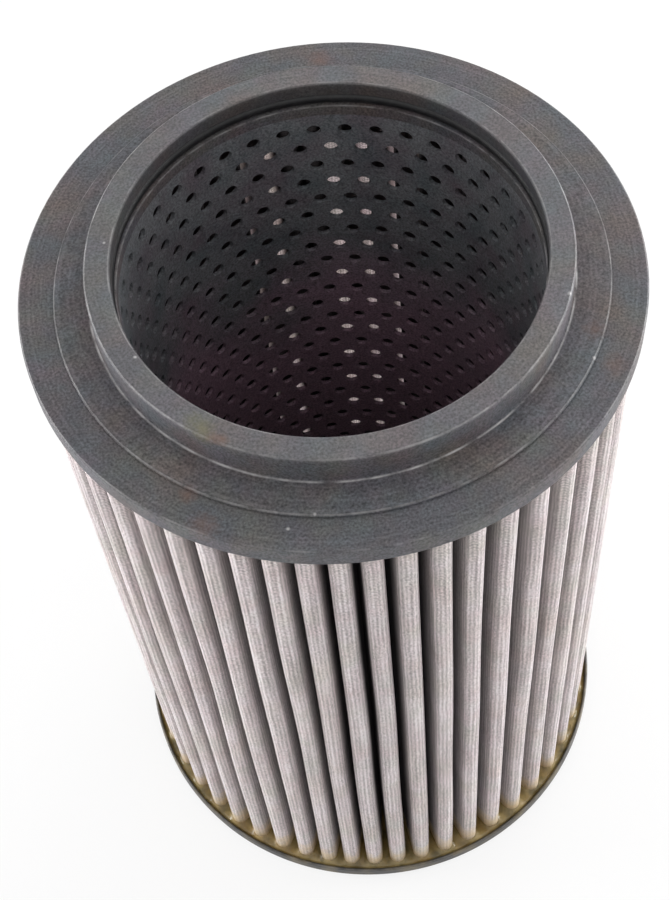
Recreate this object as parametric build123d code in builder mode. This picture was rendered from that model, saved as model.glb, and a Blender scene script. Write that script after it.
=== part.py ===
"""Pleated filter element: a folded wire-cloth pack on a perforated tube, bonded between two end caps.

The axis is Z and the underside of the bottom cap is at Z = 0. All sizes are in millimetres.
"""

import os
from dataclasses import dataclass
from math import acos, atan2, cos, hypot, pi, radians, sin

from build123d import *

# Overall sizes
flange_height = 228.0
bore_radius = 51.4
pleat_depth = 20.35
fit_gap = 0.05
edge_break = 0.4

# Top end cap: a flange with a raised inner zone and a collar that holds the seal
flange_thickness = 5.3
top_web = 2.5
top_rim_wall = 1.4
raised_zone_width = 8.8
raised_zone_height = 1.0
collar_wall = 6.2
collar_height = 9.7
collar_root_fillet = 0.5
seal_lip_height = 1.95
tube_socket_depth = 1.2

# Bore seal: an O-ring that stands a little proud of the bore
seal_section = 3.5
seal_stand = 0.2
seal_side_gap = 0.25

# Centre tube: rolled perforated sheet, set back a little from the bore
tube_set_back = 0.4
tube_wall = 1.2
tube_hole_radius = 4.0
tube_hole_pitch = 20.0
tube_plain_band = 9.0

# Bottom end cap: a pressed pan that reaches a little past the top cap
pan_overhang = 0.5
pan_sheet = 1.0
pan_rim_height = 5.0
pan_corner_radius = 1.6
pan_rim_chamfer = 0.3

# Resin that bonds the cloth into both caps
bottom_resin_depth = 3.0
top_resin_depth = 2.2

# Pleated wire cloth
pleat_pitch_on_tube = 6.3
cloth_clearance = 1.0
crest_width = 4.2
inner_fold_radius = 0.4
cloth_thickness = 0.5
seam_side_angle = 93.7
crowding = 2.35
crowding_lobes = 3
crowding_phase = 33.4

# Seam clip: a folded strip over the two cut ends of the cloth
seam_gap = 0.1
clip_sheet = 0.5
clip_depth = 8.0

# Radii that follow from the sizes above, from the bore outwards
tube_inner_radius = bore_radius - tube_set_back
tube_outer_radius = tube_inner_radius + tube_wall
tube_seat_radius = tube_outer_radius + fit_gap
seal_groove_radius = bore_radius - seal_stand + seal_section + fit_gap
collar_radius = bore_radius + collar_wall
raised_zone_radius = collar_radius + raised_zone_width
pack_radius = tube_seat_radius + pleat_depth
trough_radius = pack_radius + cloth_clearance
end_cap_radius = trough_radius + top_rim_wall
pan_radius = end_cap_radius + pan_overhang
pan_inner_radius = pan_radius - pan_sheet
crest_half_width = crest_width / 2
crest_centre_radius = pack_radius - crest_half_width
seam_half_width = cloth_thickness + seam_gap / 2
seam_end_radius = pack_radius - clip_sheet

# Levels that follow from the sizes above, from the pan upwards
tube_bottom = pan_sheet
pack_bottom = pan_sheet + bottom_resin_depth
rim_bottom = flange_height - flange_thickness
trough_top = flange_height - top_web
tube_top = trough_top + tube_socket_depth
pack_top = trough_top - top_resin_depth
pack_height = pack_top - pack_bottom
seal_groove_bottom = flange_height + seal_lip_height
seal_groove_top = seal_groove_bottom + seal_section + seal_side_gap
collar_top = flange_height + collar_height

# Counts that follow from the pitches
pleat_count = round(2 * pi * tube_seat_radius / pleat_pitch_on_tube)
tube_holes_round = round(2 * pi * tube_inner_radius / tube_hole_pitch)
tube_holes_bottom = pack_bottom + tube_plain_band
tube_holes_top = pack_top - tube_plain_band
tube_row_gaps = round((tube_holes_top - tube_holes_bottom) / (tube_hole_pitch * sin(pi / 3)))


@dataclass
class Pleat:
    """One pleat: the direction that it points in and half its width over the outside."""

    angle: float
    half_width: float

    def point(self, along, across):
        """A point given along and across the pleat, turned to where the pleat stands."""
        turn = radians(self.angle)
        return (along * cos(turn) - across * sin(turn), along * sin(turn) + across * cos(turn))

    def place(self, point):
        """How far a point lies along and across the pleat."""
        turn = radians(self.angle)
        x, y = point
        return (x * cos(turn) + y * sin(turn), y * cos(turn) - x * sin(turn))


@dataclass
class Fold:
    """An inner fold: its centre and the radius of its face towards the outside."""

    centre: tuple
    radius: float

    def point_at_tube(self, inset):
        """The point of the fold that is nearest the tube."""
        share = 1 - (self.radius + inset) / hypot(*self.centre)
        return (self.centre[0] * share, self.centre[1] * share)


def pleat_angle(number):
    """The pleats keep an even pitch, apart from the slight crowding of a pack spread by hand."""
    even = 360 * number / pleat_count
    return seam_side_angle + even + crowding * sin(radians(crowding_lobes * even + crowding_phase))


def pleat_row():
    """All pleats in order, starting and ending on the narrow one that holds the seam."""
    row = [Pleat(pleat_angle(number), crest_half_width) for number in range(pleat_count + 1)]
    row[0].half_width = seam_half_width
    row[-1].half_width = seam_half_width
    return row


def inner_fold(before, after):
    """The fold on the tube between two pleats: tight, or as wide as straight legs leave it beside the seam."""
    middle = Pleat((before.angle + after.angle) / 2, 0)
    if before.half_width == after.half_width:
        return Fold(middle.point(tube_seat_radius + cloth_thickness + inner_fold_radius, 0), inner_fold_radius)
    half_turn = radians(after.angle - before.angle) / 2
    half_width = (before.half_width + after.half_width) / 2
    reach = sin(half_turn) * (tube_seat_radius + cloth_thickness)
    radius = (reach - half_width) / (1 - sin(half_turn))
    across = (before.half_width - after.half_width) / (2 * cos(half_turn))
    return Fold(middle.point(tube_seat_radius + cloth_thickness + radius, across), radius)


def leg_ends(pleat, side, fold, inset):
    """The two ends of one face of a leg, where it touches the pleat's outer fold and the inner fold."""
    along, across = pleat.place(fold.centre)
    inwards = along - crest_centre_radius
    aside = side * across
    splay = atan2(inwards, aside) + acos((pleat.half_width + fold.radius) / hypot(inwards, aside))
    crest_radius = pleat.half_width - inset
    foot_radius = fold.radius + inset
    top = pleat.point(crest_centre_radius + crest_radius * sin(splay), side * crest_radius * cos(splay))
    foot = pleat.point(along - foot_radius * sin(splay), across - side * foot_radius * cos(splay))
    return top, foot


def cloth_face_line(row, inset):
    """One face of the cloth from cut end to cut end: legs, inner folds and outer folds."""
    edges = []
    for before, after in zip(row, row[1:]):
        fold = inner_fold(before, after)
        start, down = leg_ends(before, 1, fold, inset)
        end, up = leg_ends(after, -1, fold, inset)
        if before is row[0]:
            start = before.point(seam_end_radius, before.half_width - inset)
        else:
            crest = before.point(crest_centre_radius + before.half_width - inset, 0)
            edges.append(ThreePointArc(crest_start, crest, start))
        if after is row[-1]:
            end = after.point(seam_end_radius, inset - after.half_width)
        edges += [Line(start, down), ThreePointArc(down, fold.point_at_tube(inset), up), Line(up, end)]
        crest_start = end
    return edges


def cloth_cut_ends(row):
    """The two cut ends of the cloth, side by side in the seam."""
    edges = []
    for end, side in ((row[0], 1), (row[-1], -1)):
        outside = end.point(seam_end_radius, side * end.half_width)
        inside = end.point(seam_end_radius, side * (end.half_width - cloth_thickness))
        edges.append(Line(outside, inside))
    return edges


def tube_hole_planes():
    """A plane facing outwards at each hole of the tube, in staggered rows."""
    planes = []
    row_pitch = (tube_holes_top - tube_holes_bottom) / tube_row_gaps
    for row in range(tube_row_gaps + 1):
        for place in range(tube_holes_round):
            angle = 360 * (place + row % 2 / 2) / tube_holes_round
            outwards = Vector(1, 0, 0).rotate(Axis.Z, angle)
            centre = Vector(0, 0, tube_holes_bottom + row * row_pitch)
            planes.append(Plane(centre + outwards * (tube_inner_radius - tube_wall), z_dir=outwards))
    return planes


# Top end cap, turned from one piece
with BuildPart() as top_end_cap:
    with BuildSketch(Plane.XZ):
        with BuildLine():
            Polyline(
                (tube_inner_radius, tube_top),
                (tube_inner_radius, seal_groove_bottom),
                (seal_groove_radius, seal_groove_bottom),
                (seal_groove_radius, seal_groove_top),
                (bore_radius, seal_groove_top),
                (bore_radius, collar_top),
                (collar_radius, collar_top),
                (collar_radius, flange_height + raised_zone_height),
                (raised_zone_radius, flange_height + raised_zone_height),
                (raised_zone_radius, flange_height),
                (end_cap_radius, flange_height),
                (end_cap_radius, rim_bottom),
                (trough_radius, rim_bottom),
                (trough_radius, trough_top),
                (tube_seat_radius, trough_top),
                (tube_seat_radius, tube_top),
                close=True,
            )
        make_face()
    revolve(axis=Axis.Z)
    rings = top_end_cap.edges().filter_by(GeomType.CIRCLE)
    collar_rings = rings.filter_by(lambda ring: abs(ring.radius - collar_radius) < fit_gap).sort_by(Axis.Z)
    zone_rings = rings.filter_by(lambda ring: abs(ring.radius - raised_zone_radius) < fit_gap).sort_by(Axis.Z)
    flange_rings = rings.filter_by(lambda ring: abs(ring.radius - end_cap_radius) < fit_gap).sort_by(Axis.Z)
    collar_mouth = rings.group_by(Axis.Z)[-1].sort_by(SortBy.RADIUS)[0]
    fillet(collar_rings[0], collar_root_fillet)
    chamfer([collar_mouth, collar_rings[-1], zone_rings[-1], flange_rings[-1]], edge_break)
top_end_cap.part.label = "top_end_cap"

# Bore seal, resting on the lip of its groove
with BuildPart() as bore_seal:
    with BuildSketch(Plane.XZ):
        seal_centre = (
            bore_radius - seal_stand + seal_section / 2,
            seal_groove_bottom + fit_gap + seal_section / 2,
        )
        with Locations(seal_centre):
            Circle(seal_section / 2)
    revolve(axis=Axis.Z)
bore_seal.part.label = "bore_seal"

# Centre tube, standing in the pan and socketed in the top cap
with BuildPart() as centre_tube:
    with BuildSketch(Plane.XY.offset(tube_bottom)):
        Circle(tube_outer_radius)
        Circle(tube_inner_radius, mode=Mode.SUBTRACT)
    extrude(amount=tube_top - tube_bottom)
    with BuildSketch(*tube_hole_planes()):
        Circle(tube_hole_radius)
    extrude(amount=3 * tube_wall, mode=Mode.SUBTRACT)
centre_tube.part.label = "centre_tube"

# Wire cloth, one strip folded to and fro round the tube
pleats = pleat_row()
cloth_outline = cloth_face_line(pleats, 0) + cloth_face_line(pleats, cloth_thickness) + cloth_cut_ends(pleats)
with BuildPart() as pleated_wire_cloth:
    with BuildSketch(Plane.XY.offset(pack_bottom)):
        with BuildLine():
            add(cloth_outline)
        make_face()
    extrude(amount=pack_height)
pleated_wire_cloth.part.label = "pleated_wire_cloth"

# Seam clip, a narrow channel pressed over both cut ends
with BuildPart() as cloth_seam_clip:
    seam_plane = Plane.XY.offset(pack_bottom).rotated((0, 0, pleats[0].angle))
    with BuildSketch(seam_plane):
        with Locations((pack_radius, 0)):
            Rectangle(clip_depth, 2 * (seam_half_width + clip_sheet), align=(Align.MAX, Align.CENTER))
        with Locations((seam_end_radius, 0)):
            Rectangle(clip_depth, 2 * seam_half_width, align=(Align.MAX, Align.CENTER), mode=Mode.SUBTRACT)
    extrude(amount=pack_height)
cloth_seam_clip.part.label = "cloth_seam_clip"

# Top resin, cast into the trough of the top cap round the tube
with BuildPart() as top_resin:
    with BuildSketch(Plane.XY.offset(pack_top)):
        Circle(trough_radius - fit_gap)
        Circle(tube_seat_radius, mode=Mode.SUBTRACT)
    extrude(amount=top_resin_depth)
top_resin.part.label = "top_resin"

# Bottom resin, cast into the pan round the tube
with BuildPart() as bottom_resin:
    with BuildSketch(Plane.XY.offset(pan_sheet)):
        Circle(pan_inner_radius - fit_gap)
        Circle(tube_seat_radius, mode=Mode.SUBTRACT)
    extrude(amount=bottom_resin_depth)
    lower_rings = bottom_resin.edges().group_by(Axis.Z)[0]
    fillet(lower_rings.sort_by(SortBy.RADIUS)[-1], pan_corner_radius - pan_sheet)
bottom_resin.part.label = "bottom_resin"

# Bottom end cap, pressed from sheet
with BuildPart() as bottom_end_cap:
    with BuildSketch(Plane.XY):
        Circle(pan_radius)
    extrude(amount=pan_rim_height)
    fillet(bottom_end_cap.edges().group_by(Axis.Z)[0], pan_corner_radius)
    offset(amount=-pan_sheet, openings=bottom_end_cap.faces().sort_by(Axis.Z)[-1])
    chamfer(bottom_end_cap.edges().group_by(Axis.Z)[-1], pan_rim_chamfer)
bottom_end_cap.part.label = "bottom_end_cap"

os.makedirs("parts", exist_ok=True)
for piece in (
    top_end_cap,
    bore_seal,
    centre_tube,
    pleated_wire_cloth,
    cloth_seam_clip,
    top_resin,
    bottom_resin,
    bottom_end_cap,
):
    export_step(piece.part, f"parts/{piece.part.label}.step")
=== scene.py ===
from math import acos, atan2, cos, degrees, exp, hypot, pi, radians, sin, tau

import bmesh
import bpy
from mathutils import Matrix, Vector, noise


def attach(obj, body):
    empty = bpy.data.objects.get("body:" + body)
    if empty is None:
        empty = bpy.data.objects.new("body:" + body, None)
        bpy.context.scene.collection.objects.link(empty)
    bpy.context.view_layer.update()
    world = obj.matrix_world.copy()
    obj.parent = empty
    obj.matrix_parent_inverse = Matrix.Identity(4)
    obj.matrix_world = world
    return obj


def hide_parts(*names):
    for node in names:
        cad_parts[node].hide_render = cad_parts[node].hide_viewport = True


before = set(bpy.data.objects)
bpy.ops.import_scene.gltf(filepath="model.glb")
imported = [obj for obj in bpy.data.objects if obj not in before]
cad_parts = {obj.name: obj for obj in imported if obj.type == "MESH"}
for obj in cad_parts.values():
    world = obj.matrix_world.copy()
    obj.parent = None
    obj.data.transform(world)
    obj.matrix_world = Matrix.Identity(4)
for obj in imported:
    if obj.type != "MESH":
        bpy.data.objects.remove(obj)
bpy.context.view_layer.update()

MM = 0.001
BODY = "root"

# Levels and radii of the solids, in metres
PAN_SHEET = 1.0 * MM
PACK_BOTTOM = 4.0 * MM
PACK_TOP = 223.3 * MM
TUBE_TOP = 226.7 * MM
FLANGE_TOP = 228.0 * MM
RAISED_ZONE_TOP = 229.0 * MM
SEAL_LIP_TOP = 229.95 * MM
COLLAR_TOP = 237.7 * MM
TUBE_INNER_RADIUS = 51.0 * MM
TUBE_OUTER_RADIUS = 52.2 * MM
TUBE_SEAT_RADIUS = 52.25 * MM
BORE_RADIUS = 51.4 * MM
COLLAR_RADIUS = 57.6 * MM
RAISED_ZONE_RADIUS = 66.4 * MM
PACK_RADIUS = 72.6 * MM
RESIN_RADIUS = 74.45 * MM
END_CAP_RADIUS = 75.0 * MM

# Perforation of the tube: round holes in staggered rows, counted down from the top
HOLES_ROUND = 40
HOLE_ROWS = 32
HOLE_RADIUS = 1.9 * MM
TOP_ROW_LEVEL = 221.2 * MM
ROW_PITCH = 6.8 * MM
TOP_ROW_ANGLE = 90.75
CELL_DIVISIONS = 4
SHARP_EDGE_ANGLE = 35
RIM_TOLERANCE = 0.1 * MM
MERGE_DISTANCE = 0.01 * MM

# Folds of the wire cloth
PLEATS = 52
CLOTH_THICKNESS = 0.5 * MM
CREST_HALF_WIDTH = 2.1 * MM
CREST_CENTRE = PACK_RADIUS - CREST_HALF_WIDTH
INNER_FOLD_RADIUS = 0.4 * MM
FOOT_SPREAD = 0.7 * MM
SEAM_HALF_WIDTH = 0.55 * MM
SEAM_END_RADIUS = 72.1 * MM
SEAM_ANGLE = 93.7
CROWDING = 2.35
CROWDING_LOBES = 3
CROWDING_PHASE = 33.4
CREST_STEPS = 10
INNER_FOLD_STEPS = 6
HEIGHT_STEPS = 16

# Lean of the pleats in degrees, how quickly it changes round and up the pack, and how many degrees from
# the seam the clip still holds them
LEAN = 0.9
LEAN_CHANGE_ROUND = 5
LEAN_CHANGE_UP = 2.5
SEAM_HOLD = 20

# Resin in the bottom pan: its surface creeps up the cloth
RESIN_STEPS_PER_PLEAT = 12
RESIN_RINGS = 16
RESIN_CREEP = 2.0 * MM
RESIN_CREEP_REACH = 1.0 * MM
RESIN_UNEVEN = 0.5 * MM
RESIN_SWELL_SIZE = 6 * MM
RESIN_CORNER = 0.6 * MM
RESIN_CORNER_STEPS = 3

# The floor lies a little below the pan, so that their two faces stay apart
FLOOR_GAP = 0.05 * MM
FLOOR_REACH = 3.0
FLOOR_GLOW_SHARE = 0.8

# Light: where the surroundings are brightest, and their lowest and highest strength
LIGHT_FROM = (0.4, 0.15, 0.9)
LIGHT_LOW = 0.6
LIGHT_HIGH = 1.0

# Soft lamps: name, place, target, size and power
LAMPS = (
    ("soft_key", (0.3, 0.45, 0.5), (0, 0, 0.2), 0.4, 1.2),
    ("left_rim_light", (-0.75, 0.1, 0.16), (0, 0, 0.1), 0.4, 6.0),
    ("right_rim_light", (0.75, 0.1, 0.16), (0, 0, 0.1), 0.4, 6.0),
)

# Camera, fitted to the ellipses of the caps in the photograph: its place in metres, its turns in
# degrees, and its lens and sensor in millimetres
CAMERA_PLACE = (0, -0.24804, 0.55706)
CAMERA_SWING = 0.85
CAMERA_DIP = 58.834
CAMERA_ROLL = -6.439
CAMERA_LENS = 68.92
CAMERA_SENSOR = 36.0

# Wires of the cloth, as they are drawn, and the streaks and specks on them
UPRIGHT_WIRE_PITCH = 0.9 * MM
LEVEL_WIRE_PITCH = 0.75 * MM
STREAK_WIDTH = 0.9 * MM
STREAK_LENGTH = 35 * MM
SPECK = 0.5 * MM

# Sizes of the other fine patterns
COAT_CRYSTAL = 0.6 * MM
TURNING_RING = 0.9 * MM
PAN_GRAIN = 0.7 * MM
ROLLED_LINE_WIDTH = 0.3 * MM
ROLLED_LINE_LENGTH = 20 * MM
RESIN_BUBBLE = 1.6 * MM
HIGHLIGHT_PATCH = 5 * MM
FRAYED_EDGE = 1.5 * MM

# The clouds of a finish lie this far apart, so that they don't repeat one another
CLOUD_SHIFT = 0.37

# Painted shade in the collar's bore: its strength. Painted fill light lower in the tube: size and raggedness
# of its clouds, and the levels between which it fades out there
BORE_SHADE_STRENGTH = 0.45
LOW_FILL_CLOUD = 40 * MM
LOW_FILL_RAGGED = 110 * MM
LOW_FILL_FULL_LEVEL = 195 * MM
LOW_FILL_END_LEVEL = 235 * MM

# How deep behind the outer folds the cloth's painted shade is full, and how much of its mesh lets light
# through
FOLD_SHADE_DEPTH = 6.5 * MM
OPEN_SHARE = 0.3

# Resin drawn up into the cloth: size and raggedness of its edge, and the levels between which it fades
STAIN_PATCH = 3 * MM
STAIN_RAGGED = 16 * MM
STAIN_FULL_LEVEL = PACK_BOTTOM - 7 * MM
STAIN_END_LEVEL = PACK_BOTTOM + 4 * MM

# Base colour of each finish
CAP_COAT = "#4e4e53"
TUBE_COAT = "#6f7073"
CLOTH_WIRE = "#ebe3e4"
SET_RESIN = "#86754b"
PAN_COAT = "#383634"
BLACK_RUBBER = "#141416"
STRIP_STEEL = "#b5b3b0"

# Colours of wear, dirt and stains, and of painted highlights, painted shade and painted fill light
BARE_STEEL = "#c6c4c4"
# Painted edge highlights on the cap, and the handled wear on the collar's top
CAP_WEAR_AND_HIGHLIGHT = "#b4b2b2"
# Painted highlight along the pan's rim
PAN_HIGHLIGHT_COLOUR = "#8c8a86"
RUST = "#7c5742"
OLIVE_STAIN = "#747049"
# Painted shade in the collar's bore
CAP_BORE_SHADE = "#19181b"
# Painted fill light lower in the tube
TUBE_LOW_FILL = "#947987"
# Painted shade deep in the cloth's folds
CLOTH_FOLD_SHADE = "#332d30"
RESIN_IN_CLOTH = "#efdab0"

# Cloudy tints on each finish: colour, size of the patches and strength
CAP_TINTS = (
    ("#6a5f68", 9 * MM, 0.35),
    ("#566366", 7 * MM, 0.35),
    ("#66614f", 12 * MM, 0.3),
    ("#694e44", 16 * MM, 0.3),
)
TUBE_TINTS = (("#5d4753", 14 * MM, 0.6), ("#48565a", 11 * MM, 0.5), ("#6b6d72", 5 * MM, 0.3))
CLOTH_TINTS = (("#e0d7d0", 16 * MM, 0.5), ("#d4d6cd", 11 * MM, 0.4), ("#dfcccd", 9 * MM, 0.3))
RESIN_TINTS = (("#4c462f", 5 * MM, 0.9), ("#b29c6c", 3 * MM, 0.5), ("#80602c", 8 * MM, 0.5))
PAN_TINTS = (("#7d7052", 8 * MM, 0.6), ("#353539", 5 * MM, 0.5))
RUBBER_TINTS = (("#2c2b2c", 2 * MM, 0.6),)

# Painted highlights along edges: radius, level, width and strength
CAP_EDGE_HIGHLIGHTS = (
    (COLLAR_RADIUS - 0.2 * MM, COLLAR_TOP, 0.45 * MM, 0.8),
    (BORE_RADIUS + 0.3 * MM, COLLAR_TOP, 0.4 * MM, 0.5),
    (COLLAR_RADIUS + 0.4 * MM, RAISED_ZONE_TOP, 0.4 * MM, 1.2),
    (RAISED_ZONE_RADIUS - 0.2 * MM, RAISED_ZONE_TOP, 0.4 * MM, 0.6),
    (END_CAP_RADIUS - 0.2 * MM, FLANGE_TOP, 0.4 * MM, 0.4),
    (TUBE_INNER_RADIUS, SEAL_LIP_TOP, 0.5 * MM, 0.6),
)
PAN_EDGE_HIGHLIGHTS = ((75.2 * MM, 5.0 * MM, 0.4 * MM, 0.6),)

# Nicks and stains on the cap: radius, angle, level, width, strength and colour
CAP_MARKS = (
    (52.3 * MM, -151.1, COLLAR_TOP, 0.6 * MM, 1.0, BARE_STEEL),
    (53.1 * MM, 171.1, COLLAR_TOP, 0.5 * MM, 0.8, BARE_STEEL),
    (57.2 * MM, -20.2, COLLAR_TOP, 0.9 * MM, 0.9, BARE_STEEL),
    (66.0 * MM, -97.5, RAISED_ZONE_TOP, 0.6 * MM, 0.8, BARE_STEEL),
    (66.2 * MM, -29.0, RAISED_ZONE_TOP, 0.7 * MM, 0.8, BARE_STEEL),
    (69.4 * MM, -102.3, FLANGE_TOP, 0.6 * MM, 0.8, BARE_STEEL),
    (56.3 * MM, -119.0, COLLAR_TOP, 2.4 * MM, 0.4, RUST),
    (56.6 * MM, -121.0, COLLAR_TOP, 2.4 * MM, 0.4, RUST),
    (55.8 * MM, -124.0, COLLAR_TOP, 4.2 * MM, 0.5, OLIVE_STAIN),
    (55.0 * MM, -127.5, COLLAR_TOP, 3.0 * MM, 0.35, OLIVE_STAIN),
    (73.0 * MM, -117.2, FLANGE_TOP, 5.0 * MM, 0.3, RUST),
    (67.2 * MM, -122.5, FLANGE_TOP, 3.0 * MM, 0.35, RUST),
    (63.9 * MM, -22.4, RAISED_ZONE_TOP, 4.0 * MM, 0.3, RUST),
    (70.4 * MM, -28.5, FLANGE_TOP, 4.0 * MM, 0.25, RUST),
    (68.7 * MM, 87.7, FLANGE_TOP, 4.5 * MM, 0.3, RUST),
)


def linear(hex_colour):
    """An sRGB hex value as the linear colour that the shaders take."""
    channels = [int(hex_colour[i : i + 2], 16) / 255 for i in (1, 3, 5)]
    return [c / 12.92 if c <= 0.04045 else ((c + 0.055) / 1.055) ** 2.4 for c in channels] + [1.0]


def add_node(tree, kind, links=None, **settings):
    """A shader node with its settings, and its inputs set to values or linked to other outputs."""
    made = tree.nodes.new(kind)
    for name, value in settings.items():
        setattr(made, name, value)
    for name, value in (links or {}).items():
        socket = made.inputs[name]
        if isinstance(value, bpy.types.NodeSocket):
            tree.links.new(value, socket)
        else:
            socket.default_value = value
    return made


def empty_tree(owner):
    """The node tree of a material or a world, without the nodes that it comes with."""
    owner.use_nodes = True
    tree = owner.node_tree
    tree.nodes.clear()
    return tree


def new_material(name, base, metallic, roughness):
    """A node material with its tree and its main shader, whose even values are set here."""
    material = bpy.data.materials.new(name)
    tree = empty_tree(material)
    shader = add_node(
        tree,
        "ShaderNodeBsdfPrincipled",
        {"Base Color": linear(base), "Metallic": metallic, "Roughness": roughness},
    )
    add_node(tree, "ShaderNodeOutputMaterial", {"Surface": shader.outputs[0]})
    return material, tree, shader


def object_place(tree):
    """Where a spot lies on the object."""
    return add_node(tree, "ShaderNodeTexCoord").outputs["Object"]


def radius_and_level(tree, place):
    """How far a spot is from the axis, and its height."""
    level = add_node(tree, "ShaderNodeSeparateXYZ", {0: place}).outputs["Z"]
    flat = add_node(
        tree, "ShaderNodeVectorMath", {0: place, 1: (1, 1, 0)}, operation="MULTIPLY"
    ).outputs[0]
    radius = add_node(tree, "ShaderNodeVectorMath", {0: flat}, operation="LENGTH").outputs["Value"]
    return radius, level


def tinted(tree, place, base, tints):
    """A base colour with cloudy patches of other tints laid over it."""
    colour = linear(base)
    for number, (tint, size, strength) in enumerate(tints):
        shift = [CLOUD_SHIFT * (number + 1)] * 3
        shifted = add_node(tree, "ShaderNodeVectorMath", {0: place, 1: shift}).outputs[0]
        cloud = add_node(
            tree, "ShaderNodeTexNoise", {"Vector": shifted, "Scale": 1 / size, "Detail": 3.0}
        ).outputs[0]
        share = add_node(
            tree, "ShaderNodeMapRange", {0: cloud, "From Min": 0.45, "From Max": 0.7, "To Max": strength}
        ).outputs[0]
        colour = add_node(
            tree, "ShaderNodeMix", {0: share, 6: colour, 7: linear(tint)}, data_type="RGBA"
        ).outputs[2]
    return colour


def edge_highlight_share(tree, place, radius, level, edges):
    """Painted highlights along turned edges, broken into patches."""
    section = add_node(tree, "ShaderNodeCombineXYZ", {0: radius, 1: level}).outputs[0]
    edge_highlight = 0.0
    for edge_radius, edge_level, width, strength in edges:
        edge = (edge_radius, edge_level, 0)
        gap = add_node(
            tree, "ShaderNodeVectorMath", {0: section, 1: edge}, operation="DISTANCE"
        ).outputs["Value"]
        near = add_node(
            tree, "ShaderNodeMapRange", {0: gap, "From Max": width, "To Min": strength, "To Max": 0.0}
        ).outputs[0]
        edge_highlight = add_node(
            tree, "ShaderNodeMath", {0: near, 1: edge_highlight}, operation="MAXIMUM"
        ).outputs[0]
    patches = add_node(
        tree, "ShaderNodeTexNoise", {"Vector": place, "Scale": 1 / HIGHLIGHT_PATCH, "Detail": 4.0}
    ).outputs[0]
    broken = add_node(
        tree, "ShaderNodeMapRange", {0: patches, "From Min": 0.35, "From Max": 0.65}
    ).outputs[0]
    return add_node(tree, "ShaderNodeMath", {0: edge_highlight, 1: broken}, operation="MULTIPLY").outputs[0]


def bore_shade_share(tree, radius, level):
    """Painted shade in the collar's bore: its wall above the seal lip is darkened."""
    in_bore = add_node(
        tree,
        "ShaderNodeMapRange",
        {
            0: radius,
            "From Min": BORE_RADIUS + 0.1 * MM,
            "From Max": BORE_RADIUS + 0.3 * MM,
            "To Min": BORE_SHADE_STRENGTH,
            "To Max": 0.0,
        },
    ).outputs[0]
    above_lip = add_node(
        tree,
        "ShaderNodeMapRange",
        {0: level, "From Min": SEAL_LIP_TOP, "From Max": SEAL_LIP_TOP + 0.4 * MM},
    ).outputs[0]
    return add_node(
        tree, "ShaderNodeMath", {0: in_bore, 1: above_lip}, operation="MULTIPLY"
    ).outputs[0]


def marked(tree, place, colour, marks):
    """A colour with nicks and stains laid over it, each frayed at its edge."""
    frayed = add_node(
        tree, "ShaderNodeTexNoise", {"Vector": place, "Scale": 1 / FRAYED_EDGE, "Detail": 3.0}
    ).outputs[0]
    for mark_radius, mark_angle, mark_level, width, strength, tint in marks:
        turn = radians(mark_angle)
        centre = (mark_radius * cos(turn), mark_radius * sin(turn), mark_level)
        gap = add_node(
            tree, "ShaderNodeVectorMath", {0: place, 1: centre}, operation="DISTANCE"
        ).outputs["Value"]
        gap = add_node(
            tree, "ShaderNodeMath", {0: frayed, 1: width, 2: gap}, operation="MULTIPLY_ADD"
        ).outputs[0]
        share = add_node(
            tree,
            "ShaderNodeMapRange",
            {
                0: gap,
                "From Min": 0.5 * width,
                "From Max": 1.4 * width,
                "To Min": strength,
                "To Max": 0.0,
            },
        ).outputs[0]
        colour = add_node(
            tree, "ShaderNodeMix", {0: share, 6: colour, 7: linear(tint)}, data_type="RGBA"
        ).outputs[2]
    return colour


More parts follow.
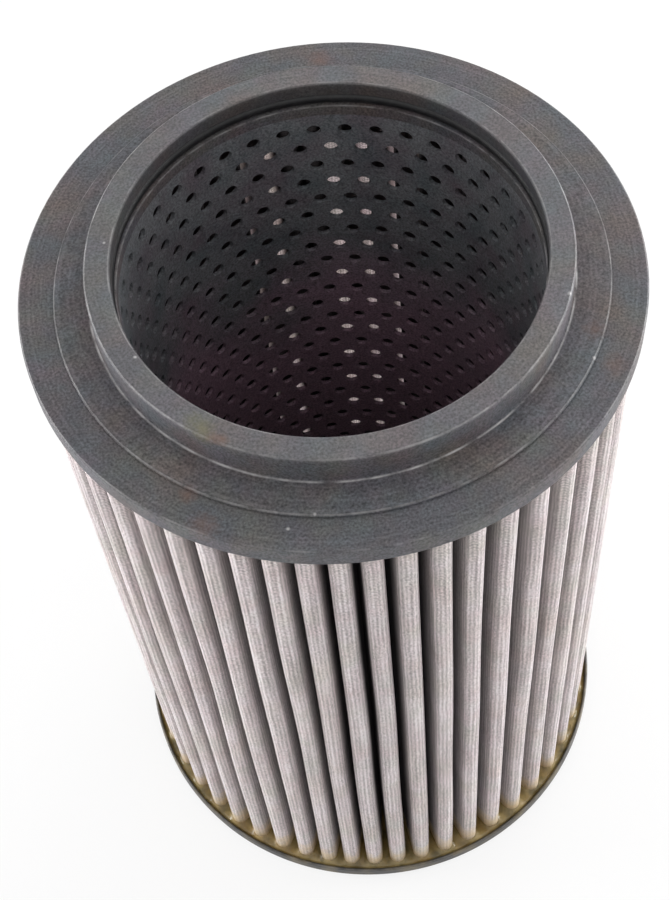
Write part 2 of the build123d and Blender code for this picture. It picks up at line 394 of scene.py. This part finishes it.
def phosphated_steel():
    """Turned steel with a phosphate coat: matt, dark grey and finely crystalline, with faint turning rings,
    cloudy tints, painted shade in the bore, painted highlights along the edges, and a few nicks and stains."""
    material, tree, shader = new_material("phosphated_steel", CAP_COAT, 0.0, 0.62)
    place = object_place(tree)
    radius, level = radius_and_level(tree, place)
    colour = tinted(tree, place, CAP_COAT, CAP_TINTS)
    # The crystals are finer than this; they are drawn as coarse as the picture shows grain.
    crystals = add_node(
        tree, "ShaderNodeTexNoise", {"Vector": place, "Scale": 1 / COAT_CRYSTAL, "Detail": 2.0}
    ).outputs[0]
    rings = add_node(
        tree,
        "ShaderNodeTexNoise",
        {"W": radius, "Scale": 1 / TURNING_RING, "Detail": 2.0},
        noise_dimensions="1D",
    ).outputs[0]
    grain = add_node(
        tree, "ShaderNodeMath", {0: rings, 1: 0.3, 2: crystals}, operation="MULTIPLY_ADD"
    ).outputs[0]
    shade = add_node(
        tree,
        "ShaderNodeMapRange",
        {0: grain, "From Min": 0.35, "From Max": 0.95, "To Min": 0.3, "To Max": 1.7},
    ).outputs[0]
    colour = add_node(
        tree, "ShaderNodeVectorMath", {0: colour, "Scale": shade}, operation="SCALE"
    ).outputs[0]
    # Painted shade in the collar's bore
    bore_shade = bore_shade_share(tree, radius, level)
    colour = add_node(
        tree, "ShaderNodeMix", {0: bore_shade, 6: colour, 7: linear(CAP_BORE_SHADE)}, data_type="RGBA"
    ).outputs[2]
    # The top of the collar is handled, and its coat is a little polished.
    handled = add_node(
        tree,
        "ShaderNodeMapRange",
        {0: level, "From Min": COLLAR_TOP - 1.5 * MM, "From Max": COLLAR_TOP - 0.5 * MM, "To Max": 0.07},
    ).outputs[0]
    # Painted highlights along the cap's edges, laid on together with the handled wear
    edge_highlight = edge_highlight_share(tree, place, radius, level, CAP_EDGE_HIGHLIGHTS)
    lightened = add_node(
        tree, "ShaderNodeMath", {0: handled, 1: edge_highlight}, operation="MAXIMUM"
    ).outputs[0]
    colour = add_node(
        tree, "ShaderNodeMix", {0: lightened, 6: colour, 7: linear(CAP_WEAR_AND_HIGHLIGHT)}, data_type="RGBA"
    ).outputs[2]
    colour = marked(tree, place, colour, CAP_MARKS)
    tree.links.new(colour, shader.inputs["Base Color"])
    relief = add_node(
        tree, "ShaderNodeBump", {"Strength": 0.35, "Distance": 0.05 * MM, "Height": grain}
    )
    tree.links.new(relief.outputs[0], shader.inputs["Normal"])
    return material


def phosphated_tube_steel():
    """Perforated sheet rolled into a tube, phosphated like the cap: matt, nearly black where it is shaded,
    with purplish and greenish oil tints, and painted fill light, paler and purplish, lower down."""
    material, tree, shader = new_material("phosphated_tube_steel", TUBE_COAT, 0.0, 0.5)
    place = object_place(tree)
    level = radius_and_level(tree, place)[1]
    colour = tinted(tree, place, TUBE_COAT, TUBE_TINTS)
    # Painted fill light, paler and purplish, lower down in the tube, fading out higher up
    cloud = add_node(
        tree, "ShaderNodeTexNoise", {"Vector": place, "Scale": 1 / LOW_FILL_CLOUD, "Detail": 3.0}
    ).outputs[0]
    ragged = add_node(
        tree, "ShaderNodeMath", {0: cloud, 1: LOW_FILL_RAGGED, 2: level}, operation="MULTIPLY_ADD"
    ).outputs[0]
    low_fill = add_node(
        tree,
        "ShaderNodeMapRange",
        {
            0: ragged,
            "From Min": LOW_FILL_FULL_LEVEL,
            "From Max": LOW_FILL_END_LEVEL,
            "To Min": 0.9,
            "To Max": 0.0,
        },
    ).outputs[0]
    colour = add_node(
        tree, "ShaderNodeMix", {0: low_fill, 6: colour, 7: linear(TUBE_LOW_FILL)}, data_type="RGBA"
    ).outputs[2]
    # The crystals are finer than this; they are drawn as coarse as the picture shows grain.
    grain = add_node(
        tree, "ShaderNodeTexNoise", {"Vector": place, "Scale": 1 / COAT_CRYSTAL, "Detail": 2.0}
    ).outputs[0]
    shade = add_node(
        tree,
        "ShaderNodeMapRange",
        {0: grain, "From Min": 0.2, "From Max": 0.8, "To Min": 0.3, "To Max": 1.7},
    ).outputs[0]
    colour = add_node(
        tree, "ShaderNodeVectorMath", {0: colour, "Scale": shade}, operation="SCALE"
    ).outputs[0]
    tree.links.new(colour, shader.inputs["Base Color"])
    relief = add_node(
        tree, "ShaderNodeBump", {"Strength": 0.2, "Distance": 0.05 * MM, "Height": grain}
    )
    tree.links.new(relief.outputs[0], shader.inputs["Normal"])
    return material


def woven_pattern(tree, place):
    """The wires of the weave, with streaks along the folds and a fine speckle."""
    weave_map = add_node(tree, "ShaderNodeUVMap", uv_map="weave").outputs[0]
    # The wires are about 0.1 mm apart; they are drawn as coarse as the picture shows them.
    shared = {"Vector": weave_map, "Distortion": 2.0, "Detail Scale": 0.4}
    upright = add_node(
        tree,
        "ShaderNodeTexWave",
        {**shared, "Scale": pi / (10 * UPRIGHT_WIRE_PITCH)},
        bands_direction="X",
    ).outputs[1]
    level_wires = add_node(
        tree,
        "ShaderNodeTexWave",
        {**shared, "Scale": pi / (10 * LEVEL_WIRE_PITCH)},
        bands_direction="Y",
    ).outputs[1]
    wires = add_node(
        tree, "ShaderNodeMath", {0: upright, 1: 0.6, 2: level_wires}, operation="MULTIPLY_ADD"
    ).outputs[0]
    streak_scale = (1 / STREAK_WIDTH, 1 / STREAK_LENGTH, 1)
    drawn_out = add_node(
        tree, "ShaderNodeMapping", {"Vector": weave_map, "Scale": streak_scale}
    ).outputs[0]
    streaks = add_node(
        tree, "ShaderNodeTexNoise", {"Vector": drawn_out, "Scale": 1.0, "Detail": 3.0}
    ).outputs[0]
    streaked = add_node(
        tree, "ShaderNodeMath", {0: streaks, 1: 2.0, 2: wires}, operation="MULTIPLY_ADD"
    ).outputs[0]
    speckle = add_node(
        tree, "ShaderNodeTexNoise", {"Vector": place, "Scale": 1 / SPECK, "Detail": 1.0}
    ).outputs[0]
    return add_node(
        tree, "ShaderNodeMath", {0: speckle, 1: 2.0, 2: streaked}, operation="MULTIPLY_ADD"
    ).outputs[0]


def resin_stain_share(tree, place, level):
    """How much resin the cloth has drawn up into its lower edge."""
    uneven = add_node(
        tree, "ShaderNodeTexNoise", {"Vector": place, "Scale": 1 / STAIN_PATCH, "Detail": 3.0}
    ).outputs[0]
    drawn_up = add_node(
        tree, "ShaderNodeMath", {0: uneven, 1: -STAIN_RAGGED, 2: level}, operation="MULTIPLY_ADD"
    ).outputs[0]
    return add_node(
        tree,
        "ShaderNodeMapRange",
        {
            0: drawn_up,
            "From Min": STAIN_FULL_LEVEL,
            "From Max": STAIN_END_LEVEL,
            "To Min": 0.8,
            "To Max": 0.0,
        },
    ).outputs[0]


def stainless_wire_cloth():
    """Woven stainless wire cloth: pale and softly lit by its many round wires, whose fine lines show, with
    painted shade deep in the folds, and yellowed at its lower edge. Light gets through its mesh."""
    material, tree, shader = new_material("stainless_wire_cloth", CLOTH_WIRE, 1.0, 0.75)
    place = object_place(tree)
    radius, level = radius_and_level(tree, place)
    pattern = woven_pattern(tree, place)
    shade = add_node(
        tree,
        "ShaderNodeMapRange",
        {0: pattern, "From Min": 1.6, "From Max": 3.8, "To Min": 0.4, "To Max": 1.4},
    ).outputs[0]
    colour = tinted(tree, place, CLOTH_WIRE, CLOTH_TINTS)
    colour = add_node(
        tree, "ShaderNodeVectorMath", {0: colour, "Scale": shade}, operation="SCALE"
    ).outputs[0]
    # Painted shade deep in the folds: there the cloth is darkened, made less metallic and rougher than the
    # wires.
    fold_shade = add_node(
        tree,
        "ShaderNodeMapRange",
        {
            0: radius,
            "From Min": CREST_CENTRE - FOLD_SHADE_DEPTH,
            "From Max": PACK_RADIUS,
            "To Min": 0.93,
            "To Max": 0.0,
        },
    ).outputs[0]
    unshaded = add_node(tree, "ShaderNodeMath", {0: 1.0, 1: fold_shade}, operation="SUBTRACT").outputs[0]
    tree.links.new(unshaded, shader.inputs["Metallic"])
    rough = add_node(
        tree, "ShaderNodeMath", {0: fold_shade, 1: 0.1, 2: 0.75}, operation="MULTIPLY_ADD"
    ).outputs[0]
    tree.links.new(rough, shader.inputs["Roughness"])
    colour = add_node(
        tree, "ShaderNodeMix", {0: fold_shade, 6: colour, 7: linear(CLOTH_FOLD_SHADE)}, data_type="RGBA"
    ).outputs[2]
    stain = resin_stain_share(tree, place, level)
    colour = add_node(
        tree, "ShaderNodeMix", {0: stain, 6: colour, 7: linear(RESIN_IN_CLOTH)}, data_type="RGBA"
    ).outputs[2]
    tree.links.new(colour, shader.inputs["Base Color"])
    relief = add_node(
        tree, "ShaderNodeBump", {"Strength": 0.5, "Distance": 0.06 * MM, "Height": pattern}
    )
    tree.links.new(relief.outputs[0], shader.inputs["Normal"])
    through = add_node(tree, "ShaderNodeBsdfTranslucent", {"Color": colour})
    # Light that has come into the wall from one side goes on out through the other.
    inside = add_node(tree, "ShaderNodeNewGeometry").outputs["Backfacing"]
    open_share = add_node(
        tree, "ShaderNodeMath", {0: inside, 1: OPEN_SHARE}, operation="MAXIMUM"
    ).outputs[0]
    mixed = add_node(
        tree, "ShaderNodeMixShader", {0: open_share, 1: shader.outputs[0], 2: through.outputs[0]}
    )
    output = next(node for node in tree.nodes if node.type == "OUTPUT_MATERIAL")
    tree.links.new(mixed.outputs[0], output.inputs["Surface"])
    return material


def cast_resin():
    """Two-part casting resin set in the caps: glossy amber to olive in cloudy patches, with small
    bubbles."""
    material, tree, shader = new_material("cast_resin", SET_RESIN, 0.0, 0.3)
    place = object_place(tree)
    colour = tinted(tree, place, SET_RESIN, RESIN_TINTS)
    tree.links.new(colour, shader.inputs["Base Color"])
    bubbles = add_node(
        tree, "ShaderNodeTexVoronoi", {"Vector": place, "Scale": 1 / RESIN_BUBBLE, "Randomness": 1.0}
    ).outputs[0]
    dips = add_node(
        tree, "ShaderNodeMapRange", {0: bubbles, "From Min": 0.1, "From Max": 0.35}
    ).outputs[0]
    relief = add_node(
        tree, "ShaderNodeBump", {"Strength": 0.4, "Distance": 0.15 * MM, "Height": dips}
    )
    tree.links.new(relief.outputs[0], shader.inputs["Normal"])
    return material


def pressed_pan_steel():
    """Pressed steel sheet, phosphated dark, with smears of resin and dirt on it, and a painted highlight
    along its rim.
    """
    material, tree, shader = new_material("pressed_pan_steel", PAN_COAT, 0.0, 0.5)
    place = object_place(tree)
    radius, level = radius_and_level(tree, place)
    colour = tinted(tree, place, PAN_COAT, PAN_TINTS)
    # Painted highlight along the pan's rim
    lightened = edge_highlight_share(tree, place, radius, level, PAN_EDGE_HIGHLIGHTS)
    colour = add_node(
        tree, "ShaderNodeMix", {0: lightened, 6: colour, 7: linear(PAN_HIGHLIGHT_COLOUR)}, data_type="RGBA"
    ).outputs[2]
    tree.links.new(colour, shader.inputs["Base Color"])
    grain = add_node(
        tree, "ShaderNodeTexNoise", {"Vector": place, "Scale": 1 / PAN_GRAIN, "Detail": 3.0}
    ).outputs[0]
    relief = add_node(
        tree, "ShaderNodeBump", {"Strength": 0.3, "Distance": 0.05 * MM, "Height": grain}
    )
    tree.links.new(relief.outputs[0], shader.inputs["Normal"])
    return material


def nitrile_rubber():
    """Moulded nitrile rubber: near black, with a dull sheen and a little dust."""
    material, tree, shader = new_material("nitrile_rubber", BLACK_RUBBER, 0.0, 0.5)
    colour = tinted(tree, object_place(tree), BLACK_RUBBER, RUBBER_TINTS)
    tree.links.new(colour, shader.inputs["Base Color"])
    return material


def stainless_strip():
    """Cold-rolled stainless strip, folded and pressed: bright grey with fine rolling lines along it."""
    material, tree, shader = new_material("stainless_strip", STRIP_STEEL, 1.0, 0.32)
    line_scale = (1 / ROLLED_LINE_WIDTH, 1 / ROLLED_LINE_WIDTH, 1 / ROLLED_LINE_LENGTH)
    drawn_out = add_node(
        tree, "ShaderNodeMapping", {"Vector": object_place(tree), "Scale": line_scale}
    ).outputs[0]
    lines = add_node(
        tree, "ShaderNodeTexNoise", {"Vector": drawn_out, "Scale": 1.0, "Detail": 2.0}
    ).outputs[0]
    rough = add_node(
        tree, "ShaderNodeMapRange", {0: lines, "To Min": 0.25, "To Max": 0.45}
    ).outputs[0]
    tree.links.new(rough, shader.inputs["Roughness"])
    relief = add_node(
        tree, "ShaderNodeBump", {"Strength": 0.2, "Distance": 0.03 * MM, "Height": lines}
    )
    tree.links.new(relief.outputs[0], shader.inputs["Normal"])
    return material


def finished_piece(name, shape, material, node):
    """A modelled piece that stands for a solid: its mesh, finish and place in the frame."""
    mesh = bpy.data.meshes.new(name)
    shape.to_mesh(mesh)
    shape.free()
    mesh.shade_smooth()
    mesh.materials.append(material)
    piece = bpy.data.objects.new(name, mesh)
    bpy.context.scene.collection.objects.link(piece)
    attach(piece, BODY)
    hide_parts(node)
    return piece


def pleat_angle(number):
    """The pleats keep an even pitch, apart from the slight crowding of a pack spread by hand."""
    even = 360 * number / PLEATS
    return SEAM_ANGLE + even + CROWDING * sin(radians(CROWDING_LOBES * even + CROWDING_PHASE))


def pleat_half_width(number):
    """Half the width of a pleat over its outside; the seam pleat is the narrow one."""
    return SEAM_HALF_WIDTH if number in (0, PLEATS) else CREST_HALF_WIDTH


def pleat_point(angle, along, across):
    """A point given along and across a pleat, turned to where the pleat stands."""
    turn = radians(angle)
    x = along * cos(turn) - across * sin(turn)
    y = along * sin(turn) + across * cos(turn)
    return Vector((x, y, PACK_BOTTOM))


def drawn_to(strip, tip, place):
    """The strip's line drawn straight on from its tip to a place."""
    tip = bmesh.ops.extrude_vert_indiv(strip, verts=[tip])["verts"][0]
    tip.co = place
    return tip


def turned_round(strip, tip, centre, angle, steps):
    """The strip's line turned from its tip round a fold."""
    made = bmesh.ops.spin(strip, geom=[tip], cent=centre, axis=(0, 0, 1), angle=angle, steps=steps)
    return made["geom_last"][0]


def inner_fold(number):
    """The centre and the radius of the fold on the tube between a pleat and the next one: tight, or as wide
    as straight legs leave it beside the seam."""
    before, after = pleat_angle(number), pleat_angle(number + 1)
    width_before, width_after = pleat_half_width(number), pleat_half_width(number + 1)
    seat = TUBE_SEAT_RADIUS + CLOTH_THICKNESS
    if width_before == width_after:
        return pleat_point((before + after) / 2, seat + INNER_FOLD_RADIUS, 0), INNER_FOLD_RADIUS
    half_turn = radians(after - before) / 2
    radius = (sin(half_turn) * seat - (width_before + width_after) / 2) / (1 - sin(half_turn))
    across = (width_before - width_after) / (2 * cos(half_turn))
    return pleat_point((before + after) / 2, seat + radius, across), radius


def leg_splay(number, side, fold):
    """The angle between a pleat's axis and its leg, which touches both its outer fold and the inner fold."""
    centre, radius = fold
    seen = Matrix.Rotation(-radians(pleat_angle(number)), 3, "Z") @ centre
    inwards, aside = seen.x - CREST_CENTRE, side * seen.y
    return atan2(inwards, aside) + acos((pleat_half_width(number) + radius) / hypot(inwards, aside))


def folded_line():
    """The outer face of the strip seen from above, as one line from cut end to cut end."""
    strip = bmesh.new()
    start = pleat_point(pleat_angle(0), SEAM_END_RADIUS, SEAM_HALF_WIDTH)
    tip = bmesh.ops.create_vert(strip, co=start)["vert"][0]
    for number in range(PLEATS):
        fold = inner_fold(number)
        splay_down, splay_up = leg_splay(number, 1, fold), leg_splay(number + 1, -1, fold)
        outwards = Matrix.Rotation(radians(pleat_angle(number)) - splay_down, 3, "Z")
        tip = drawn_to(strip, tip, fold[0] - outwards @ Vector((0, fold[1], 0)))
        turn = radians(pleat_angle(number + 1) - pleat_angle(number)) + splay_down + splay_up
        tip = turned_round(strip, tip, fold[0], turn - pi, INNER_FOLD_STEPS)
        after = pleat_angle(number + 1)
        if number + 1 == PLEATS:
            drawn_to(strip, tip, pleat_point(after, SEAM_END_RADIUS, -SEAM_HALF_WIDTH))
            return strip
        width = pleat_half_width(number + 1)
        shoulder = pleat_point(after, CREST_CENTRE + width * sin(splay_up), -width * cos(splay_up))
        tip = drawn_to(strip, tip, shoulder)
        next_splay = leg_splay(number + 1, 1, inner_fold(number + 1))
        crest = pleat_point(after, CREST_CENTRE, 0)
        tip = turned_round(strip, tip, crest, pi - splay_up - next_splay, CREST_STEPS)


def mark_lengths(strip):
    """Each point of the line gets its distance along the strip, for the weave to follow."""
    length = strip.verts.layers.float.new("along")
    strip.verts.ensure_lookup_table()
    for before, after in zip(strip.verts[:-1], strip.verts[1:]):
        after[length] = before[length] + (after.co - before.co).length
    return length


def lean_angle(place):
    """How far a pleat leans sideways: nothing at the tube, in the resin and at the seam clip, and most at
    the crests halfway up."""
    depth = (hypot(place.x, place.y) - TUBE_SEAT_RADIUS) / (PACK_RADIUS - TUBE_SEAT_RADIUS)
    height = (place.z - PACK_BOTTOM) / (PACK_TOP - PACK_BOTTOM)
    across = place.xy.normalized() * LEAN_CHANGE_ROUND
    wave = noise.noise(Vector((across.x, across.y, LEAN_CHANGE_UP * height)))
    from_seam = abs((degrees(atan2(place.y, place.x)) - SEAM_ANGLE + 180) % 360 - 180)
    freedom = min(from_seam / SEAM_HOLD, 1) ** 2
    return radians(LEAN) * wave * depth * 4 * height * (1 - height) * freedom


def pleated_cloth(material):
    """The strip of wire cloth folded to and fro round the tube, a little uneven as the pleats are."""
    strip = folded_line()
    length = mark_lengths(strip)
    edges = strip.edges[:]
    rise = (PACK_TOP - PACK_BOTTOM) / HEIGHT_STEPS
    for _ in range(HEIGHT_STEPS):
        made = bmesh.ops.extrude_edge_only(strip, edges=edges)["geom"]
        raised = {part for part in made if isinstance(part, bmesh.types.BMVert)}
        made_edges = (part for part in made if isinstance(part, bmesh.types.BMEdge))
        edges = [edge for edge in made_edges if raised.issuperset(edge.verts)]
        bmesh.ops.translate(strip, verts=list(raised), vec=(0, 0, rise))
    weave = strip.loops.layers.uv.new("weave")
    for face in strip.faces:
        for corner in face.loops:
            corner[weave].uv = (corner.vert[length], corner.vert.co.z)
    for point in strip.verts:
        point.co.rotate(Matrix.Rotation(lean_angle(point.co), 3, "Z"))
    piece = finished_piece("wire_cloth_pack", strip, material, "pleated_wire_cloth")
    wall = piece.modifiers.new("wall", "SOLIDIFY")
    wall.thickness = CLOTH_THICKNESS
    wall.offset = -1
    wall.use_even_offset = True


def tube_cell(sheet, width):
    """One hole in its share of the flat sheet."""
    bmesh.ops.create_grid(sheet, x_segments=CELL_DIVISIONS, y_segments=CELL_DIVISIONS, size=1)
    rim = 1 - 1 / CELL_DIVISIONS
    inside = [point for point in sheet.verts if max(abs(point.co.x), abs(point.co.y)) < rim]
    bmesh.ops.delete(sheet, geom=inside, context="VERTS")
    bmesh.ops.scale(sheet, verts=sheet.verts[:], vec=(width / 2, ROW_PITCH / 2, 1))
    bmesh.ops.create_circle(sheet, segments=4 * CELL_DIVISIONS, radius=HOLE_RADIUS)
    bmesh.ops.bridge_loops(sheet, edges=sheet.edges[:])


def repeated(sheet, geometry, shift):
    """A copy of some of the sheet, moved along."""
    copy = bmesh.ops.duplicate(sheet, geom=geometry)["geom"]
    moved = [part for part in copy if isinstance(part, bmesh.types.BMVert)]
    bmesh.ops.translate(sheet, verts=moved, vec=shift)


def plain_band(sheet, level, end):
    """The sheet without holes between the last row and the end of the tube."""
    near = {point for point in sheet.verts if abs(point.co.z - level) < RIM_TOLERANCE}
    rim = [edge for edge in sheet.edges if edge.is_boundary and near.issuperset(edge.verts)]
    made = bmesh.ops.extrude_edge_only(sheet, edges=rim)["geom"]
    moved = [part for part in made if isinstance(part, bmesh.types.BMVert)]
    bmesh.ops.translate(sheet, verts=moved, vec=(0, 0, end - level))


def perforated_tube(material):
    """The centre tube: flat perforated sheet rolled up, with its full number of holes."""
    sheet = bmesh.new()
    width = tau * TUBE_INNER_RADIUS / HOLES_ROUND
    tube_cell(sheet, width)
    cell = sheet.verts[:] + sheet.edges[:] + sheet.faces[:]
    for number in range(1, HOLES_ROUND):
        repeated(sheet, cell, (number * width, 0, 0))
    row = sheet.verts[:] + sheet.edges[:] + sheet.faces[:]
    for number in range(1, HOLE_ROWS):
        repeated(sheet, row, (number % 2 * width / 2, -number * ROW_PITCH, 0))
    for point in sheet.verts:
        turn = point.co.x / TUBE_INNER_RADIUS + radians(TOP_ROW_ANGLE)
        level = TOP_ROW_LEVEL + point.co.y
        point.co = (TUBE_INNER_RADIUS * cos(turn), TUBE_INNER_RADIUS * sin(turn), level)
    bmesh.ops.remove_doubles(sheet, verts=sheet.verts[:], dist=MERGE_DISTANCE)
    plain_band(sheet, TOP_ROW_LEVEL + ROW_PITCH / 2, TUBE_TOP)
    plain_band(sheet, TOP_ROW_LEVEL - (HOLE_ROWS - 0.5) * ROW_PITCH, PAN_SHEET)
    made = bmesh.ops.extrude_face_region(sheet, geom=sheet.faces[:], use_keep_orig=True)["geom"]
    outer = [part for part in made if isinstance(part, bmesh.types.BMVert)]
    spread = TUBE_OUTER_RADIUS / TUBE_INNER_RADIUS
    bmesh.ops.scale(sheet, verts=outer, vec=(spread, spread, 1))
    bmesh.ops.recalc_face_normals(sheet, faces=sheet.faces[:])
    piece = finished_piece("perforated_tube", sheet, material, "centre_tube")
    piece.data.set_sharp_from_angle(angle=radians(SHARP_EDGE_ANGLE))


def cloth_distance(place):
    """How far a place in the resin is from the nearest leg or crest of the cloth."""
    nearest = hypot(place.x, place.y)
    for number in range(PLEATS):
        local = Matrix.Rotation(-radians(pleat_angle(number)), 2) @ place.xy
        if local.x > 0:
            splay = FOOT_SPREAD * max(CREST_CENTRE - local.x, 0) / (CREST_CENTRE - TUBE_SEAT_RADIUS)
            middle = pleat_half_width(number) - CLOTH_THICKNESS / 2 + splay
            past_crest = max(local.x - CREST_CENTRE, 0)
            nearest = min(nearest, abs(hypot(past_crest, local.y) - middle))
    return nearest


def resin_rise(place):
    """How far the resin's surface stands over its level: uneven, and crept up the cloth."""
    swell = noise.noise(place.to_3d() / RESIN_SWELL_SIZE) * RESIN_UNEVEN
    return swell + RESIN_CREEP * exp(-cloth_distance(place) / RESIN_CREEP_REACH)


def creeping_resin(material):
    """The resin cast into the pan, with the surface that it set with."""
    cast = bmesh.new()
    start = bmesh.ops.create_vert(cast, co=(TUBE_SEAT_RADIUS, 0, PACK_BOTTOM))["vert"][0]
    for ring in range(1, RESIN_RINGS + 1):
        radius = TUBE_SEAT_RADIUS + (RESIN_RADIUS - TUBE_SEAT_RADIUS) * ring / RESIN_RINGS
        start = drawn_to(cast, start, (radius, 0, PACK_BOTTOM))
    line = cast.verts[:] + cast.edges[:]
    steps = PLEATS * RESIN_STEPS_PER_PLEAT
    bmesh.ops.spin(
        cast, geom=line, cent=(0, 0, 0), axis=(0, 0, 1), angle=tau, steps=steps, use_merge=True
    )
    surface = cast.verts[:]
    rims = [edge for edge in cast.edges if edge.is_boundary]
    made = bmesh.ops.extrude_edge_only(cast, edges=rims)["geom"]
    lowered = {part for part in made if isinstance(part, bmesh.types.BMVert)}
    made_edges = (part for part in made if isinstance(part, bmesh.types.BMEdge))
    floor_edges = [edge for edge in made_edges if lowered.issuperset(edge.verts)]
    bmesh.ops.translate(cast, verts=list(lowered), vec=(0, 0, PAN_SHEET - PACK_BOTTOM))
    bmesh.ops.bridge_loops(cast, edges=floor_edges)
    corner = [edge for edge in floor_edges if edge.verts[0].co.xy.length > CREST_CENTRE]
    bmesh.ops.bevel(
        cast,
        geom=corner,
        offset=RESIN_CORNER,
        segments=RESIN_CORNER_STEPS,
        profile=0.5,
        affect="EDGES",
        material=-1,
    )
    for point in surface:
        point.co.z += resin_rise(point.co)
    bmesh.ops.recalc_face_normals(cast, faces=cast.faces[:])
    finished_piece("creeping_resin", cast, material, "bottom_resin")


def seen_share(tree):
    """1 for what the camera sees straight or in gloss or glass, and 0 for the light that falls on things."""
    path = add_node(tree, "ShaderNodeLightPath")
    seen = path.outputs["Is Camera Ray"]
    for kind in ("Is Glossy Ray", "Is Transmission Ray"):
        seen = add_node(
            tree, "ShaderNodeMath", {0: seen, 1: path.outputs[kind]}, operation="MAXIMUM"
        ).outputs[0]
    return seen


def white_paper():
    """White paper, which keeps the object's shadow and otherwise looks as white as the surroundings."""
    material = bpy.data.materials.new("white_paper")
    tree = empty_tree(material)
    share = add_node(
        tree, "ShaderNodeMath", {0: seen_share(tree), 1: FLOOR_GLOW_SHARE}, operation="MULTIPLY"
    ).outputs[0]
    paper = add_node(tree, "ShaderNodeBsdfDiffuse", {"Color": linear("#e8e8e8")}).outputs[0]
    glow = add_node(
        tree, "ShaderNodeEmission", {"Color": linear("#ffffff"), "Strength": 1.0}
    ).outputs[0]
    mixed = add_node(tree, "ShaderNodeMixShader", {0: share, 1: paper, 2: glow}).outputs[0]
    add_node(tree, "ShaderNodeOutputMaterial", {"Surface": mixed})
    return material


def white_floor():
    """A plain white floor under the element."""
    sheet = bmesh.new()
    bmesh.ops.create_grid(sheet, x_segments=1, y_segments=1, size=FLOOR_REACH)
    bmesh.ops.translate(sheet, verts=sheet.verts[:], vec=(0, 0, -FLOOR_GAP))
    mesh = bpy.data.meshes.new("floor")
    sheet.to_mesh(mesh)
    sheet.free()
    mesh.materials.append(white_paper())
    floor = bpy.data.objects.new("floor", mesh)
    bpy.context.scene.collection.objects.link(floor)


def studio_world():
    """White surroundings, which light most from above and from the right."""
    world = bpy.data.worlds.new("white_studio")
    bpy.context.scene.world = world
    tree = empty_tree(world)
    direction = add_node(tree, "ShaderNodeTexCoord").outputs["Generated"]
    toward = add_node(
        tree, "ShaderNodeVectorMath", {0: direction, 1: LIGHT_FROM}, operation="DOT_PRODUCT"
    ).outputs["Value"]
    light = add_node(
        tree,
        "ShaderNodeMapRange",
        {0: toward, "From Min": -0.5, "From Max": 1.0, "To Min": LIGHT_LOW, "To Max": LIGHT_HIGH},
    ).outputs[0]
    strength = add_node(tree, "ShaderNodeMix", {0: seen_share(tree), 2: light, 3: 1.0}).outputs[0]
    background = add_node(
        tree, "ShaderNodeBackground", {"Color": linear("#ffffff"), "Strength": strength}
    )
    add_node(tree, "ShaderNodeOutputWorld", {"Surface": background.outputs[0]})


def soft_lamp(name, place, target, size, power):
    """A round soft lamp that points at a place on the element."""
    lamp = bpy.data.lights.new(name, "AREA")
    lamp.shape = "DISK"
    lamp.size = size
    lamp.energy = power
    holder = bpy.data.objects.new(name, lamp)
    holder.location = place
    holder.rotation_euler = (Vector(target) - Vector(place)).to_track_quat("-Z", "Y").to_euler()
    bpy.context.scene.collection.objects.link(holder)


def photo_camera():
    """The camera, placed by the ellipses of the caps in the photograph."""
    data = bpy.data.cameras.new("photo_camera")
    data.lens = CAMERA_LENS
    data.sensor_width = CAMERA_SENSOR
    camera = bpy.data.objects.new("photo_camera", data)
    bpy.context.scene.collection.objects.link(camera)
    turn = Matrix.Rotation(radians(CAMERA_SWING), 4, "Z")
    tilt = Matrix.Rotation(radians(90 - CAMERA_DIP), 4, "X")
    roll = Matrix.Rotation(radians(CAMERA_ROLL), 4, "Z")
    camera.matrix_world = Matrix.Translation(CAMERA_PLACE) @ turn @ tilt @ roll
    bpy.context.scene.camera = camera


resin = cast_resin()
for node, material in (
    ("top_end_cap", phosphated_steel()),
    ("bore_seal", nitrile_rubber()),
    ("cloth_seam_clip", stainless_strip()),
    ("top_resin", resin),
    ("bottom_end_cap", pressed_pan_steel()),
):
    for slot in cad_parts[node].material_slots:
        slot.material = material
perforated_tube(phosphated_tube_steel())
pleated_cloth(stainless_wire_cloth())
creeping_resin(resin)
white_floor()
studio_world()
for lamp in LAMPS:
    soft_lamp(*lamp)
photo_camera()
bpy.context.scene.view_settings.view_transform = "Standard"
